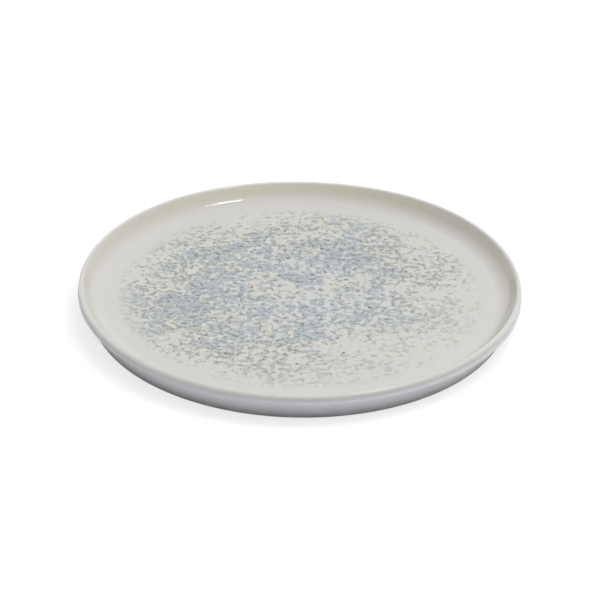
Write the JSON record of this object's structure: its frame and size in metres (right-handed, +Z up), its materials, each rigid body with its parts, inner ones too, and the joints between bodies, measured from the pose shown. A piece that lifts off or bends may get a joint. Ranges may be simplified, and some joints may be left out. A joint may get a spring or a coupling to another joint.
{
  "type": "dinner plate",
  "caption": "Round flat stoneware plate with a low coved rim, a rolled lip over a ridged edge, a bare foot ring and a speckled glaze, for serving food.",
  "frame": {"origin": "on the table under the middle of the plate", "axes": "+Z up through the middle of the well, +X to the right and +Y away from the viewer of the picture"},
  "size_m": [0.2795, 0.2805, 0.0215],
  "materials": {
    "clay": "matt",
    "ivory_glaze": "gloss",
    "speckle_glaze": "gloss",
    "cool_glaze": "gloss"
  },
  "bodies": {
    "root": {"clay_body": "clay", "face_glaze": "ivory_glaze", "speckle_glaze": "speckle_glaze", "outside_glaze": "cool_glaze", "recess_glaze": "cool_glaze"}
  },
  "joints": []
}
